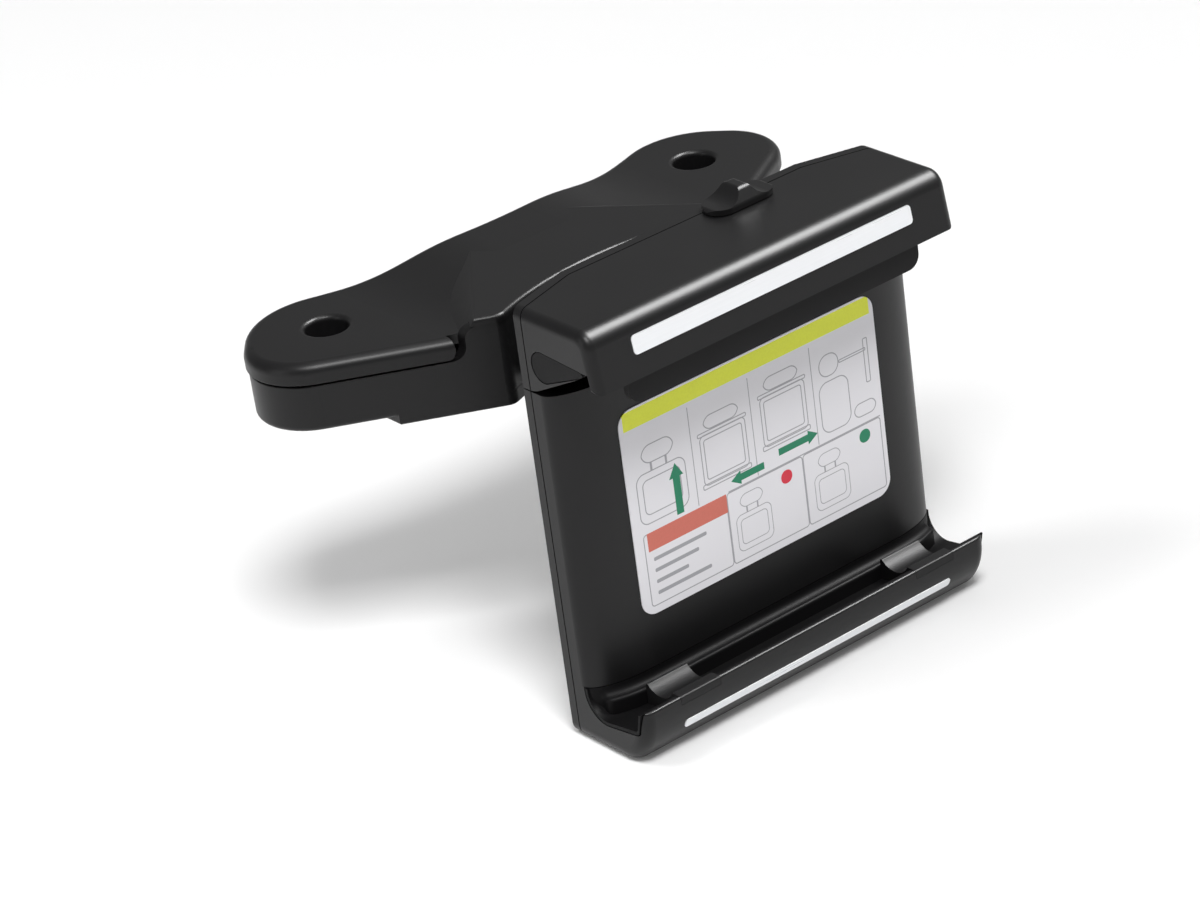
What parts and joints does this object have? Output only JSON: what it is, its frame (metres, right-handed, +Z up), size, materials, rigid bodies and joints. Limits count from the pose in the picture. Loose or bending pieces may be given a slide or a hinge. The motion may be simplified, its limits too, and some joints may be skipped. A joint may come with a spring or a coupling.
{
  "type": "headrest tablet mount",
  "caption": "Dog-bone arm carried by headrest posts, with a tilting tablet holder whose sprung upper jaw slides up from a fixed lower jaw and is held by a thumb lock.",
  "frame": {"origin": "midway between the axes of the two post bores, at half the height of the arm's lobes", "axes": "+X along the holder from one post to the other, -Y from the posts towards the tablet, +Z up along the posts"},
  "size_m": [0.194, 0.1448, 0.1405],
  "materials": {
    "shell_plastic": "satin black moulded plastic, fine texture",
    "insert_plastic": "smooth black moulded plastic",
    "soft_rubber": "matt black soft rubber",
    "accent_silver": "bright satin silver strip",
    "sticker_film": "white printed film, satin",
    "screw_steel": "blackened steel",
    "spring_steel": "bright spring wire",
    "washer_plastic": "natural plain bearing plastic",
    "rail_plastic": "dark grey sliding plastic"
  },
  "bodies": {
    "arm": {"arm_top_cover": "shell_plastic", "arm_lower_body": "shell_plastic", "arm_screws": "screw_steel", "hinge_bolt": "screw_steel", "hinge_nut": "screw_steel", "friction_washer_left": "washer_plastic", "friction_washer_right": "washer_plastic"},
    "holder": {"plate_front_shell": "shell_plastic", "plate_rear_cover": "shell_plastic", "plate_screws": "screw_steel", "lower_jaw_insert": "insert_plastic", "lower_grip_pad_left": "soft_rubber", "lower_grip_pad_right": "soft_rubber", "lower_accent_strip": "accent_silver", "instruction_sticker": "sticker_film", "return_spring_left": "spring_steel", "return_spring_right": "spring_steel"},
    "jaw": {"upper_jaw_shell": "shell_plastic", "upper_jaw_rear_cover": "shell_plastic", "jaw_screws": "screw_steel", "upper_jaw_insert": "insert_plastic", "upper_jaw_pad": "soft_rubber", "upper_accent_strip": "accent_silver", "slide_rail_left": "rail_plastic", "slide_rail_right": "rail_plastic"},
    "lock": {"lock_slider": "insert_plastic", "lock_bar": "rail_plastic"}
  },
  "joints": [
    {"name": "holder_tilt", "type": "hinge", "parent": "arm", "child": "holder", "pos_m": [0, -0.058, 0.00125], "axis": [1, 0, 0], "range_deg": [-15, 25]},
    {"name": "jaw_slide", "type": "slide", "parent": "holder", "child": "jaw", "axis": [0, 0, 1], "range_m": [0, 0.07], "stiffness_N_per_m": 80, "springref_m": -0.06, "deforming": ["return_spring_left", "return_spring_right"]},
    {"name": "lock_slide", "type": "slide", "parent": "jaw", "child": "lock", "axis": [1, 0, 0], "range_m": [-0.008, 0]}
  ]
}
